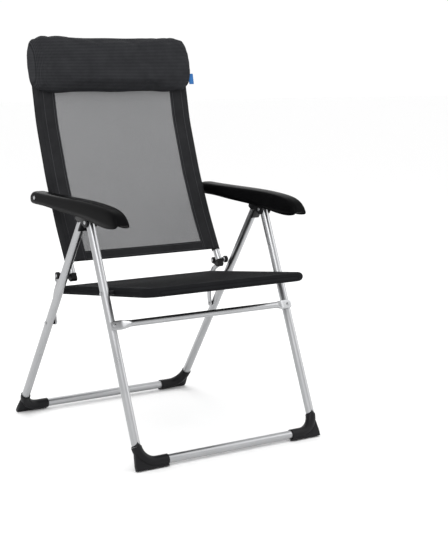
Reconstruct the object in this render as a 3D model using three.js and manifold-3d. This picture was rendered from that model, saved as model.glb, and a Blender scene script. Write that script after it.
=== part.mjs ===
// Folding camp chair: two leg frames, a seat that pivots on the front legs, a high reclining
// back carried by two curved links, and hollow armrests with a row of notches inside.
// Millimetres. +Z is up, the chair faces -Y and is mirrored in X; the floor is z = 0.
import * as THREE from 'three';
import { mergeVertices } from 'three/addons/utils/BufferGeometryUtils.js';
import Module from 'manifold-3d';

const wasm = await Module();
wasm.setup();

// ---------- driving dimensions ----------

const gap = 0.3; // running gap between touching pieces
const legs = {
  halfSpan: 287.5, // leg centre line to the middle of the chair
  radius: 12,
  wall: 1.5,
  bend: 50,
  frontFloor: -366, // where the leg axes meet the floor
  rearFloor: 370,
  crossY: -88, // where the two leg axes meet at the top
  crossZ: 672,
  barZ: 18,
};
const heights = { frontPivot: 631, bracketRivet: 652, seatPivot: 446.5, crossbar: 361, linkPivot: 312 };
const rail = { halfSpan: 250, radius: 10, wall: 1.5, sleeve: 12 };
const seat = { frontY: -352, rearY: 146, slope: 7, corner: 34, barY: 118, slingRearY: 128 };
const back = {
  hinge: [97.5, 458],
  footZ: 462,
  topZ: 1112,
  corner: 62,
  curveY: 199,
  curveZ: 700,
  lean: 0.4223,
  bow: 0.00036,
  slingZ: 490,
  stations: [590, 720, 880], // heights where the rails are bent a little
};
const link = { width: 16, thickness: 5.4, sag: 27, inner: 265.6, joggle: 11, pinBack: [136, 411] };
const arm = { inner: 264, outer: 311, wall: 3, pivot: [188, 674] };
const rack = { from: 281, to: 294, startY: -204, teeth: 8, pitch: 18, baseZ: 677.4, toothZ: 671.8 };
const catchPin = { radius: 3.5, aboveRivet: 17.5 };
const bracket = { innerCheek: [271.2, 274.9], outerCheek: [300.1, 303.8], radius: 14 };
const pillow = { bottom: 950, top: 1132, halfWidth: 258, front: 62, behind: 24 };
const boltShank = 3;
const arcSteps = 5; // half the number of sides of every round section
const boltHole = 3.4;
const sliver = 0.02; // edges shorter than this are closed up after a cut

// ---------- finishes ----------

const brightTube = () => new THREE.MeshStandardMaterial({ color: 0xc9ccd0, roughness: 0.32, metalness: 0.9 });
const steel = () => new THREE.MeshStandardMaterial({ color: 0xb4b6ba, roughness: 0.3, metalness: 1 });
const blackPlastic = () => new THREE.MeshStandardMaterial({ color: 0x141416, roughness: 0.42, metalness: 0 });
const darkFabric = () => new THREE.MeshStandardMaterial({ color: 0x26272a, roughness: 0.9, metalness: 0 });
const greyMesh = () => new THREE.MeshStandardMaterial({ color: 0x6e7073, roughness: 0.85, metalness: 0 });

// ---------- solids ----------

// The same geometry with shared corners, turned inside out if its volume is negative.
function closed(geometry) {
  const bare = geometry.clone();
  bare.deleteAttribute('normal');
  bare.deleteAttribute('uv');
  const merged = mergeVertices(bare, 1e-3);
  const at = merged.attributes.position.array;
  const index = Array.from(merged.index.array);
  const a = new THREE.Vector3();
  const b = new THREE.Vector3();
  const c = new THREE.Vector3();
  let volume = 0;
  for (let i = 0; i < index.length; i += 3) {
    a.fromArray(at, index[i] * 3);
    b.fromArray(at, index[i + 1] * 3);
    c.fromArray(at, index[i + 2] * 3);
    volume += a.dot(b.cross(c));
  }
  if (volume < 0) {
    for (let i = 0; i < index.length; i += 3) [index[i], index[i + 1]] = [index[i + 1], index[i]];
  }
  merged.setIndex(index);
  return merged;
}

function solidOf(geometry) {
  const shape = closed(geometry);
  return new wasm.Manifold(new wasm.Mesh({
    numProp: 3,
    vertProperties: new Float32Array(shape.attributes.position.array),
    triVerts: new Uint32Array(shape.index.array),
  }));
}

function geometryOf(solid) {
  const mesh = solid.getMesh();
  const geometry = new THREE.BufferGeometry();
  geometry.setAttribute('position', new THREE.BufferAttribute(new Float32Array(mesh.vertProperties), 3));
  geometry.setIndex(Array.from(mesh.triVerts));
  return geometry;
}

// Joins the first list and cuts the second out of it.
function carve(joined, removed = []) {
  let solid = solidOf(joined[0]);
  for (const piece of joined.slice(1)) solid = solid.add(solidOf(piece));
  for (const piece of removed) solid = solid.subtract(solidOf(piece));
  return geometryOf(solid.simplify(sliver));
}

// A mirrored copy for the other side of the chair; side is 1 or -1.
function onSide(geometry, side) {
  return side === 1 ? geometry : closed(geometry.clone().scale(-1, 1, 1));
}

// ---------- paths and sections ----------

// A polyline with some corners rounded. Its stations lie only where a tube needs a section, so
// it is walked station by station instead of by length.
class TubePath extends THREE.Curve {
  constructor(corners, bendSteps = 5) {
    super();
    this.stations = [];
    this.directions = [];
    for (const [i, corner] of corners.entries()) {
      const into = i > 0 ? corner.at.clone().sub(corners[i - 1].at).normalize() : null;
      const out = i < corners.length - 1 ? corners[i + 1].at.clone().sub(corner.at).normalize() : null;
      if (into && out && corner.radius) this.addBend(corner, into, out, bendSteps);
      else {
        this.stations.push(corner.at.clone());
        this.directions.push((into || out).clone().add(out || into).normalize());
      }
    }
  }

  addBend(corner, into, out, bendSteps) {
    const turn = into.angleTo(out);
    const reach = corner.radius * Math.tan(turn / 2);
    const axis = into.clone().cross(out).normalize();
    const start = corner.at.clone().addScaledVector(into, -reach);
    const middle = start.clone().addScaledVector(axis.clone().cross(into), corner.radius);
    const arm0 = start.clone().sub(middle);
    for (let s = 0; s <= bendSteps; s++) {
      const angle = (turn * s) / bendSteps;
      this.stations.push(arm0.clone().applyAxisAngle(axis, angle).add(middle));
      this.directions.push(into.clone().applyAxisAngle(axis, angle));
    }
  }

  get steps() {
    return this.stations.length - 1;
  }

  getPoint(t, target = new THREE.Vector3()) {
    return target.copy(this.stations[Math.round(t * this.steps)]);
  }

  getPointAt(u, target) {
    return this.getPoint(u, target);
  }

  getTangentAt(u, target = new THREE.Vector3()) {
    return target.copy(this.directions[Math.round(u * this.steps)]);
  }
}

const at = (x, y, z, radius = 0) => ({ at: new THREE.Vector3(x, y, z), radius });

function disc(radius, hole = 0) {
  const shape = new THREE.Shape();
  shape.absarc(0, 0, radius, 0, 2 * Math.PI);
  if (hole) shape.holes.push(new THREE.Path().absarc(0, 0, hole, 0, 2 * Math.PI));
  return shape;
}

// A round tube or rod along a path.
function tube(path, radius, hole = 0) {
  return new THREE.ExtrudeGeometry(disc(radius, hole), {
    steps: path.steps,
    curveSegments: arcSteps,
    extrudePath: path,
  });
}

// An outline drawn in (y, z), extruded along X from x0 to x1.
function slab(shape, x0, x1, options = {}) {
  const inset = options.bevel || 0;
  const geometry = new THREE.ExtrudeGeometry(shape, {
    depth: x1 - x0 - 2 * inset,
    bevelEnabled: inset > 0,
    bevelThickness: inset,
    bevelSize: inset,
    bevelOffset: -inset,
    bevelSegments: 1,
    curveSegments: options.arcSteps || arcSteps,
  });
  const toYZ = new THREE.Matrix4().makeBasis(
    new THREE.Vector3(0, 1, 0),
    new THREE.Vector3(0, 0, 1),
    new THREE.Vector3(1, 0, 0),
  );
  return geometry.applyMatrix4(toYZ).translate(x0 + inset, 0, 0);
}

function outline(points) {
  return new THREE.Shape(points.map(([y, z]) => new THREE.Vector2(y, z)));
}

// A round rod along X, for holes and spacers.
function rodX([y, z], radius, x0, x1) {
  return slab(disc(radius), x0, x1, { arcSteps: 5 }).translate(0, y, z);
}

// A domed bolt along +X: head at the far end, shank inwards, nut at the near end.
function boltGeometry({ headRadius, headHeight, length, nutRadius = 0, nutHeight = 0 }) {
  const profile = [[0, headHeight], [headRadius * 0.6, headHeight * 0.8]];
  profile.push([headRadius, 0], [boltShank, 0], [boltShank, -length]);
  if (nutRadius) profile.push([nutRadius, -length], [nutRadius, -length - nutHeight], [0, -length - nutHeight]);
  else profile.push([0, -length]);
  const points = profile.map(([r, h]) => new THREE.Vector2(r, h)).reverse();
  return closed(new THREE.LatheGeometry(points, 8).rotateZ(-Math.PI / 2));
}

// ---------- places worked out from the driving dimensions ----------

const radians = THREE.MathUtils.degToRad;
const mixed = (from, to, part) => from + (to - from) * part;
const onFrontLeg = (z) => [mixed(legs.frontFloor, legs.crossY, z / legs.crossZ), z];
const onRearLeg = (z) => [mixed(legs.rearFloor, legs.crossY, z / legs.crossZ), z];
const frontLean = Math.atan2(legs.crossY - legs.frontFloor, legs.crossZ);
const rearLean = Math.atan2(legs.rearFloor - legs.crossY, legs.crossZ);

const frontPivot = onFrontLeg(heights.frontPivot);
const bracketRivet = onRearLeg(heights.bracketRivet);
const seatPivot = onFrontLeg(heights.seatPivot);
const linkPivot = onRearLeg(heights.linkPivot);
const seatZ = (y) => seatPivot[1] - Math.tan(radians(seat.slope)) * (y - seatPivot[0]);
const backCurve = (z) => back.curveY + back.lean * (z - back.curveZ) - back.bow * (z - back.curveZ) ** 2;
const backHeights = [back.footZ, back.slingZ, ...back.stations, back.topZ];

// Where the back rails run at a height: straight between the heights of their bends.
function backY(z) {
  let i = 1;
  while (i < backHeights.length - 1 && z > backHeights[i]) i++;
  const [z0, z1] = [backHeights[i - 1], backHeights[i]];
  return mixed(backCurve(z0), backCurve(z1), (z - z0) / (z1 - z0));
}

// ---------- the model ----------

const chair = new THREE.Group();
chair.name = 'folding_camp_chair';

function place(name, geometry, material, position = [0, 0, 0], turnZ = 0, parent = chair) {
  const mesh = new THREE.Mesh(closed(geometry), material);
  mesh.name = name;
  mesh.position.set(...position);
  mesh.rotation.z = turnZ;
  parent.add(mesh);
}

// Both sides of the chair; side is 1 for +X and -1 for -X.
function eachSide(make) {
  make(1, 'right');
  make(-1, 'left');
}

// A bolt whose head faces away from the middle of the chair, its shank starting at x.
function sideBolt(name, [y, z], x, size, material = steel()) {
  eachSide((side, label) => {
    place(`${name}_${label}`, boltGeometry(size), material, [side * x, y, z], side === 1 ? 0 : Math.PI);
  });
}

// Path of a leg frame: down one leg, along its bottom bar and up the other.
function legPath(onLeg, topZ) {
  const x = legs.halfSpan;
  const [topY] = onLeg(topZ);
  const [barY] = onLeg(legs.barZ);
  return new TubePath([
    at(-x, topY, topZ),
    at(-x, barY, legs.barZ, legs.bend),
    at(x, barY, legs.barZ, legs.bend),
    at(x, topY, topZ),
  ]);
}

function boltHolesThrough(places) {
  const reach = legs.halfSpan + 20;
  return places.map((place) => rodX(place, boltHole, -reach, reach));
}

// Screw holes for the crossbar run square to the front of the legs.
const crossbar = { radius: 9, endX: 297, screwX: 286, tabThickness: 4, tabHeight: 26, flatFrom: 236, flatTo: 268 };
const crossbarLeg = onFrontLeg(heights.crossbar);
const forward = [-Math.cos(frontLean), Math.sin(frontLean)]; // (y, z) out of the front legs' faces
const crossbarScrewHole = (x, radius) => new THREE.CylinderGeometry(radius, radius, 60, 12)
  .rotateX(-frontLean)
  .translate(x, ...crossbarLeg);

function frontFrame() {
  const path = legPath(onFrontLeg, heights.frontPivot + 10);
  const holes = boltHolesThrough([frontPivot, seatPivot]);
  holes.push(crossbarScrewHole(crossbar.screwX, boltHole), crossbarScrewHole(-crossbar.screwX, boltHole));
  place('front_leg_frame', carve([tube(path, legs.radius, legs.radius - legs.wall)], holes), brightTube());
}

function rearFrame() {
  const path = legPath(onRearLeg, heights.bracketRivet + 8);
  const holes = boltHolesThrough([bracketRivet, linkPivot]);
  place('rear_leg_frame', carve([tube(path, legs.radius, legs.radius - legs.wall)], holes), brightTube());
}

// A foot: a sleeve round the bend of the tube, and a web that squares the corner down to the floor.
function footGeometry(onLeg) {
  const x = legs.halfSpan;
  const [barY] = onLeg(legs.barZ);
  const [cuffY] = onLeg(60);
  const [outY] = onLeg(95);
  const bendPath = (toX, y, z) => new TubePath([
    at(x, y, z),
    at(x, barY, legs.barZ, legs.bend),
    at(toX, barY, legs.barZ),
  ]);
  const sleeve = tube(bendPath(x - 84, cuffY, 60), legs.radius + 2.5);
  const bore = tube(bendPath(x - 130, outY, 95), legs.radius + gap);
  const lean = Math.atan2(onLeg(0)[0] - onLeg(100)[0], 100);
  const web = new THREE.Shape();
  web.moveTo(x + 14, 0);
  web.lineTo(x + 14, 16);
  web.lineTo(x + 10, 46);
  web.lineTo(x, 56);
  web.absarc(x - legs.bend, legs.bend + legs.barZ, legs.bend, 0, -Math.PI / 2, true);
  web.lineTo(x - 78, legs.barZ);
  web.lineTo(x - 86, 0);
  const plate = new THREE.ExtrudeGeometry(web, { depth: 14, bevelEnabled: false, curveSegments: 4 })
    .translate(0, 0, -7)
    .rotateX(Math.PI / 2)
    .rotateX(lean)
    .translate(0, onLeg(0)[0], 0);
  const below = new THREE.BoxGeometry(300, 120, 40).translate(x - 60, barY, -20);
  return carve([sleeve, plate], [bore, below]);
}

function feet(name, onLeg) {
  const foot = footGeometry(onLeg);
  eachSide((side, label) => place(`${name}_${label}`, onSide(foot, side), blackPlastic()));
}

// The crossbar is a round rod whose ends are pressed into tall flat tabs that lie on the legs.
function frontCrossbar() {
  const { radius, endX, flatFrom, flatTo, tabThickness, tabHeight } = crossbar;
  const marks = [endX, flatTo, mixed(flatTo, flatFrom, 1 / 3), mixed(flatTo, flatFrom, 2 / 3), flatFrom, 0];
  const xs = [...marks.map((x) => -x), ...marks.slice(0, -1).reverse()];
  const rod = tube(new TubePath(xs.map((x) => at(x, 0, 0))), radius);
  const places = rod.attributes.position;
  for (let i = 0; i < places.count; i++) {
    const flat = THREE.MathUtils.smoothstep(Math.abs(places.getX(i)), flatFrom, flatTo);
    const deep = places.getY(i) * mixed(1, tabThickness / (2 * radius), flat);
    const back = mixed(0, radius - tabThickness / 2, flat);
    places.setY(i, deep + back);
    places.setZ(i, places.getZ(i) * mixed(1, tabHeight / (2 * radius), flat));
  }
  const out = legs.radius + gap + radius;
  rod.rotateX(-frontLean).translate(0, crossbarLeg[0] + forward[0] * out, crossbarLeg[1] + forward[1] * out);
  const holes = [crossbarScrewHole(crossbar.screwX, boltHole), crossbarScrewHole(-crossbar.screwX, boltHole)];
  place('front_crossbar', carve([rod], holes), brightTube());
  eachSide((side, label) => {
    const head = legs.radius + gap + tabThickness + gap;
    const screw = boltGeometry({ headRadius: 5.5, headHeight: 2.6, length: head + legs.radius + gap,
      nutRadius: 5, nutHeight: 3.5 })
      .translate(head, 0, 0)
      .rotateZ(-Math.PI / 2)
      .rotateX(-frontLean);
    place(`crossbar_screw_${label}`, screw, steel(), [side * crossbar.screwX, ...crossbarLeg]);
  });
}

// Bracket at the top of a rear leg: two cheeks round both leg tops, joined by a tongue that runs
// down between the legs. It is riveted to the rear leg, and the front leg pivots in it.
function bracketGeometry() {
  const along = [-Math.sin(rearLean), Math.cos(rearLean)]; // up the rear leg
  const across = [-Math.cos(rearLean), -Math.sin(rearLean)]; // from the rear leg towards the front leg
  const spot = (up, over) => [
    bracketRivet[0] + along[0] * up + across[0] * over,
    bracketRivet[1] + along[1] * up + across[1] * over,
  ];
  const apart = Math.hypot(frontPivot[0] - bracketRivet[0], frontPivot[1] - bracketRivet[1]);
  const rounded = (up, over, from, to) => {
    const steps = 5;
    return Array.from({ length: steps + 1 }, (_, i) => {
      const angle = mixed(from, to, i / steps);
      return spot(up + bracket.radius * Math.sin(angle), over + bracket.radius * Math.cos(angle));
    });
  };
  const cheek = outline([
    ...rounded(0, apart, -Math.PI / 2, Math.PI / 2),
    ...rounded(7, 0, Math.PI / 2, Math.PI),
    spot(-24, -bracket.radius),
    spot(-24, 8),
    spot(-16, 14),
  ]);
  const tongue = outline([
    spot(bracket.radius - 2, 12 + gap),
    spot(bracket.radius - 2, 18.4),
    spot(-46, 18.4),
    spot(-50, 15),
    spot(-46, 12 + gap),
  ]);
  const [i0, i1] = bracket.innerCheek;
  const [o0, o1] = bracket.outerCheek;
  const cheeks = [slab(cheek, i0, i1), slab(cheek, o0, o1)];
  const holes = [frontPivot, bracketRivet].map((place) => rodX(place, boltHole, i0 - 5, o1 + 5));
  return carve([slab(tongue, i1 - 1, o0 + 1), ...cheeks], holes);
}

function brackets() {
  const shape = bracketGeometry();
  eachSide((side, label) => place(`leg_bracket_${label}`, onSide(shape, side), blackPlastic()));
  const head = bracket.outerCheek[1] + gap;
  const size = { headRadius: 5.5, headHeight: 2.2, length: head - bracket.innerCheek[0] + gap,
    nutRadius: 5, nutHeight: 1.8 };
  sideBolt('front_leg_pivot', frontPivot, head, size);
  sideBolt('bracket_rivet', bracketRivet, head, size);
  const pin = rodX([0, 0], catchPin.radius, bracket.innerCheek[1] + gap, bracket.outerCheek[0] - gap);
  const up = catchPin.aboveRivet;
  const spot = [bracketRivet[0] - Math.sin(rearLean) * up, bracketRivet[1] + Math.cos(rearLean) * up];
  eachSide((side, label) => place(`catch_pin_${label}`, onSide(pin, side), steel(), [0, ...spot]));
}

// Seat: a bent rail with a bar across its rear, a sling round both, and its two pivots.
function seatRailPath(rearY) {
  const { halfSpan } = rail;
  return new TubePath([
    at(-halfSpan, rearY, seatZ(rearY)),
    at(-halfSpan, seat.frontY, seatZ(seat.frontY), seat.corner),
    at(halfSpan, seat.frontY, seatZ(seat.frontY), seat.corner),
    at(halfSpan, rearY, seatZ(rearY)),
  ]);
}

function seatFrame() {
  const reach = legs.halfSpan;
  const holes = [rodX(seatPivot, boltHole, -reach, reach), rodX(link.pinBack, boltHole, -reach, reach)];
  const frame = carve([tube(seatRailPath(seat.rearY), rail.radius, rail.radius - rail.wall)], holes);
  place('seat_frame', frame, brightTube());
  const barEnd = rail.halfSpan - rail.radius - gap;
  const bar = tube(new TubePath([at(-barEnd, 0, 0), at(barEnd, 0, 0)]), 8);
  place('seat_rear_bar', bar, brightTube(), [0, seat.barY, seatZ(seat.barY) - 1]);
  eachSide((side, label) => {
    const cap = new THREE.CylinderGeometry(rail.radius - 2, rail.radius, 4, 12)
      .translate(0, 2 + gap, 0)
      .rotateX(-radians(seat.slope));
    place(`seat_rail_cap_${label}`, cap, blackPlastic(), [side * rail.halfSpan, seat.rearY, seatZ(seat.rearY)]);
  });
}

function seatSling() {
  const sleeve = tube(seatRailPath(seat.slingRearY), rail.sleeve);
  const bore = tube(seatRailPath(seat.rearY + 40), rail.radius + gap);
  const [y0, y1] = [seat.frontY + 6, seat.slingRearY];
  const panel = new THREE.BoxGeometry(2 * rail.halfSpan, y1 - y0, 3.2)
    .rotateX(-radians(seat.slope))
    .translate(0, (y0 + y1) / 2, seatZ((y0 + y1) / 2) + rail.sleeve - 1.9);
  const reach = legs.halfSpan;
  const bar = [seat.barY, seatZ(seat.barY) - 1];
  const holes = [rodX(seatPivot, 8.2, -reach, reach), rodX(bar, 9, -reach, reach)];
  place('seat_sling', carve([sleeve, panel], [bore, ...holes]), darkFabric());
}

function seatPivots() {
  const head = legs.halfSpan + legs.radius + gap;
  sideBolt('seat_pivot', seatPivot, head, {
    headRadius: 5.5, headHeight: 2.2, length: head - rail.halfSpan + rail.radius + gap,
    nutRadius: 5, nutHeight: 3,
  });
  const from = rail.halfSpan + rail.radius + gap;
  const to = legs.halfSpan - legs.radius - gap;
  const spacer = carve([rodX([0, 0], 7, from, to)], [rodX([0, 0], boltHole, from - 1, to + 1)]);
  eachSide((side, label) => {
    place(`seat_pivot_spacer_${label}`, onSide(spacer, side), blackPlastic(), [0, ...seatPivot]);
  });
}

// Curved link from a rear leg up to the back hinge. Its upper end steps outwards, behind the leg.
function linkGeometry() {
  const [fromY, fromZ] = linkPivot;
  const [toY, toZ] = back.hinge;
  const length = Math.hypot(toY - fromY, toZ - fromZ);
  const along = [(toY - fromY) / length, (toZ - fromZ) / length];
  const outward = [along[1], -along[0]];
  const half = link.width / 2;
  const spot = (s, out) => [
    fromY + along[0] * s + outward[0] * out,
    fromZ + along[1] * s + outward[1] * out,
  ];
  const sag = (t) => 4 * link.sag * t * (1 - t);
  const steps = 16;
  const edge = (sign) => Array.from({ length: steps + 1 }, (_, i) => {
    const t = i / steps;
    const slope = (4 * link.sag * (1 - 2 * t)) / length;
    const norm = Math.hypot(1, slope);
    return spot(t * length - (sign * half * slope) / norm, sag(t) + (sign * half) / norm);
  });
  const startTurn = Math.atan2(4 * link.sag, length);
  const roundEnd = (s, from) => [1, 2, 3].map((i) => {
    const angle = from - (Math.PI * i) / 4;
    return spot(s + half * Math.cos(angle), half * Math.sin(angle));
  });
  const shape = outline([
    ...edge(1),
    ...roundEnd(length, Math.PI / 2 - startTurn),
    ...edge(-1).reverse(),
    ...roundEnd(0, -Math.PI / 2 + startTurn),
  ]);
  const bar = slab(shape, link.inner, link.inner + link.thickness);
  const places = bar.attributes.position;
  for (let i = 0; i < places.count; i++) {
    const s = (places.getY(i) - fromY) * along[0] + (places.getZ(i) - fromZ) * along[1];
    places.setX(i, places.getX(i) + link.joggle * THREE.MathUtils.smoothstep(s / length, 0.72, 0.85));
  }
  const holes = [linkPivot, link.pinBack, back.hinge].map((place) => rodX(place, boltHole, 255, 300));
  return carve([bar], holes);
}

function links() {
  const shape = linkGeometry();
  eachSide((side, label) => place(`back_link_${label}`, onSide(shape, side), brightTube()));
  const legHead = legs.halfSpan + legs.radius + gap;
  sideBolt('link_pivot', linkPivot, legHead, {
    headRadius: 5.5, headHeight: 2.2, length: legHead - link.inner + gap, nutRadius: 5, nutHeight: 3,
  });
  const spacerFrom = link.inner + link.thickness + gap;
  const spacerTo = legs.halfSpan - legs.radius - gap;
  const ring = carve([rodX([0, 0], 7, spacerFrom, spacerTo)], [rodX([0, 0], boltHole, 260, 290)]);
  eachSide((side, label) => place(`link_spacer_${label}`, onSide(ring, side), blackPlastic(), [0, ...linkPivot]));
  const linkHead = link.inner + link.thickness + 1.2;
  sideBolt('seat_link_pin', link.pinBack, linkHead, {
    headRadius: 4.5, headHeight: 1.8, length: linkHead - (rail.halfSpan + rail.radius + 1.2),
  });
  const bossFrom = link.inner + link.joggle + link.thickness + gap;
  const bossTo = bossFrom + 9;
  const boss = carve([rodX([0, 0], 10.5, bossFrom, bossTo)], [rodX([0, 0], boltHole, bossFrom - 1, bossTo + 1)]);
  eachSide((side, label) => place(`hinge_boss_${label}`, onSide(boss, side), blackPlastic(), [0, ...back.hinge]));
  sideBolt('hinge_bolt', back.hinge, bossTo + gap, {
    headRadius: 4.5, headHeight: 2, length: bossTo + gap - 239, nutRadius: 5.5, nutHeight: 3,
  });
}

// Bush on the hinge bolt, between the link and the knuckle at the foot of the back.
function hingeBushes() {
  const from = 262.4;
  const to = link.inner + link.joggle - 1.8;
  const bush = carve([rodX([0, 0], 7, from, to)], [rodX([0, 0], boltHole, from - 1, to + 1)]);
  eachSide((side, label) => place(`hinge_bush_${label}`, onSide(bush, side), blackPlastic(), [0, ...back.hinge]));
}

function backRailPath() {
  const { halfSpan } = rail;
  const side = (x) => backHeights.slice(0, -1).map((z) => at(x, backY(z), z));
  const top = (x) => at(x, backY(back.topZ), back.topZ, back.corner);
  return new TubePath([...side(-halfSpan), top(-halfSpan), top(halfSpan), ...side(halfSpan).reverse()]);
}

function backFrame() {
  const reach = legs.halfSpan;
  const holes = [rodX(arm.pivot, boltHole, -reach, reach)];
  const frame = carve([tube(backRailPath(), rail.radius, rail.radius - rail.wall)], holes);
  place('backrest_frame', frame, brightTube());
}

// A sheet between the back rails from z0 to z1, its face outset in front of their centre lines.
function backSheet(z0, z1, thickness, outset) {
  const zs = [z0, ...back.stations.filter((z) => z > z0 && z < z1), z1];
  const side = (offset) => zs.map((z) => {
    const lean = Math.atan(back.lean - 2 * back.bow * (z - back.curveZ));
    return [backY(z) - offset * Math.cos(lean), z + offset * Math.sin(lean)];
  });
  const shape = outline([...side(outset), ...side(outset - thickness).reverse()]);
  return slab(shape, -rail.halfSpan, rail.halfSpan);
}

function backSling() {
  const top = back.topZ - back.corner - 2;
  const zs = [back.slingZ, ...back.stations, top];
  const sleeves = [-1, 1].map((side) => {
    return tube(new TubePath(zs.map((z) => at(side * rail.halfSpan, backY(z), z))), rail.sleeve);
  });
  const sheet = backSheet(back.slingZ, top, 2.6, rail.sleeve);
  const bore = tube(backRailPath(), rail.radius + gap);
  const reach = legs.halfSpan;
  const hole = rodX(arm.pivot, 8.2, -reach, reach);
  place('backrest_sling', carve([sheet, ...sleeves], [bore, hole]), greyMesh());
}

// Knuckle: a plug in the foot of a back rail and an eye behind it for the hinge bolt.
function knuckles() {
  const [eyeY, eyeZ] = back.hinge;
  const { halfSpan, radius, wall } = rail;
  const footY = backY(back.footZ);
  const alongRail = (z0, z1) => new TubePath([at(halfSpan, backY(z0), z0), at(halfSpan, backY(z1), z1)]);
  const eye = rodX([eyeY, eyeZ], 10, halfSpan - 9.6, halfSpan + 11.6);
  const lobe = rodX([footY - 3, back.footZ - 12], 9, halfSpan - 9.6, halfSpan + 9.6);
  const web = slab(outline([
    [footY - 12, back.footZ - 12],
    [footY - 9, back.footZ + 4],
    [footY + 8, back.footZ + 4],
    [eyeY, eyeZ + 9.6],
    [eyeY, eyeZ - 9.6],
    [footY - 3, back.footZ - 20.6],
  ]), halfSpan - 8, halfSpan + 8);
  const socket = tube(alongRail(back.footZ - gap, back.footZ + 26), radius + 2);
  const body = carve([lobe, web, eye], [socket, rodX([eyeY, eyeZ], boltHole, 230, 270)]);
  const plug = tube(alongRail(back.footZ - 5, back.footZ + 22), radius - wall - gap);
  const shape = carve([body, plug]);
  eachSide((side, label) => place(`back_knuckle_${label}`, onSide(shape, side), blackPlastic()));
}

// Headrest: a thick pad that hangs over the top of the back, open underneath to slip over it.
function headrest() {
  const { bottom, top, halfWidth, front, behind } = pillow;
  const middle = (bottom + top) / 2;
  const y = (z) => backY(Math.min(z, back.topZ));
  const section = new THREE.Shape();
  section.moveTo(y(bottom) - 13, bottom);
  section.splineThru([
    [y(bottom) - 38, bottom + 14],
    [y(middle) - front, middle - 8],
    [y(top) - front * 0.72, top - 24],
    [y(top) - 14, top],
    [y(top) + 12, top - 4],
    [y(top) + behind, top - 34],
    [y(middle) + behind, middle],
    [y(bottom) + 15, bottom + 4],
  ].map(([a, b]) => new THREE.Vector2(a, b)));
  section.lineTo(y(bottom) - 13, bottom);
  const pad = slab(section, -halfWidth, halfWidth, { arcSteps: 2 });
  const room = 1;
  const slot = tube(backRailPath(), rail.sleeve + room);
  const sheetSlot = backSheet(back.slingZ, back.topZ, 2.6 + 2 * room, rail.sleeve + room);
  place('headrest', carve([pad], [slot, sheetSlot]), darkFabric());
}

// Armrest: a long hollow shell, open below, with a round boss at its rear end.
function armrestOutline() {
  const shape = new THREE.Shape();
  shape.moveTo(222, 674);
  shape.splineThru([[216, 687], [200, 692], [160, 690.5], [60, 690], [-60, 690.5], [-150, 688], [-225, 682],
    [-262, 673], [-281, 655], [-287, 638]].map(([y, z]) => new THREE.Vector2(y, z)));
  shape.splineThru([[-282, 630], [-262, 628], [-225, 629], [-165, 633]].map(([y, z]) => new THREE.Vector2(y, z)));
  shape.lineTo(-120, 643);
  shape.lineTo(40, 650);
  shape.splineThru([[120, 656], [170, 656], [205, 657], [219, 664]].map(([y, z]) => new THREE.Vector2(y, z)));
  shape.lineTo(222, 674);
  return shape;
}

function armrests() {
  const outer = slab(armrestOutline(), arm.inner, arm.outer, { bevel: 5, arcSteps: 2 });
  const roof = outline([
    [150, 640], [150, 678], [120, 686], [-60, 686.5], [-150, 684], [-215, 678], [-240, 668], [-258, 640], [-258, 600],
    [150, 600],
  ]);
  const hollow = slab(roof, arm.inner + arm.wall, arm.outer - arm.wall);
  const hole = rodX(arm.pivot, boltHole + 0.2, arm.inner - 5, arm.outer + 5);
  const shell = carve([outer], [hollow, hole]);
  eachSide((side, label) => place(`armrest_${label}`, onSide(shell, side), blackPlastic()));
}

// Notched rack under the roof of an armrest; its teeth stop on the bracket's catch pin.
function racks() {
  const { startY, baseZ, toothZ, teeth, pitch } = rack;
  const notches = Array.from({ length: teeth }, (_, i) => {
    const y = startY + 2 + i * pitch;
    return [[y, baseZ], [y + 5, toothZ], [y + 10, toothZ], [y + 14, baseZ]];
  });
  const endY = startY + 4 + teeth * pitch;
  const shape = slab(outline([
    [startY, baseZ],
    ...notches.flat(),
    [endY, baseZ],
    [endY, baseZ + 6],
    [-150, baseZ + 6],
    [startY, baseZ + 1],
  ]), rack.from, rack.to);
  eachSide((side, label) => place(`armrest_rack_${label}`, onSide(shape, side), blackPlastic()));
}

function armrestPivots() {
  const [y, z] = arm.pivot;
  const from = 262.4;
  const to = arm.inner - gap;
  const bush = carve([rodX([0, 0], 8, from, to)], [rodX([0, 0], boltHole, from - 1, to + 1)]);
  eachSide((side, label) => place(`armrest_bush_${label}`, onSide(bush, side), blackPlastic(), [0, y, z]));
  const head = arm.outer + gap;
  sideBolt('armrest_bolt', [y, z], head, {
    headRadius: 5.5, headHeight: 2.4, length: head - (rail.halfSpan - rail.radius) + gap, nutRadius: 5, nutHeight: 3,
  });
}

frontFrame();
feet('front_foot', onFrontLeg);
frontCrossbar();
rearFrame();
feet('rear_foot', onRearLeg);
brackets();
seatFrame();
seatSling();
seatPivots();
links();
hingeBushes();
backFrame();
backSling();
knuckles();
headrest();
armrests();
racks();
armrestPivots();

export default chair;
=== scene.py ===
import math

import bmesh
import bpy
import numpy as np
from mathutils import Matrix, Vector


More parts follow.
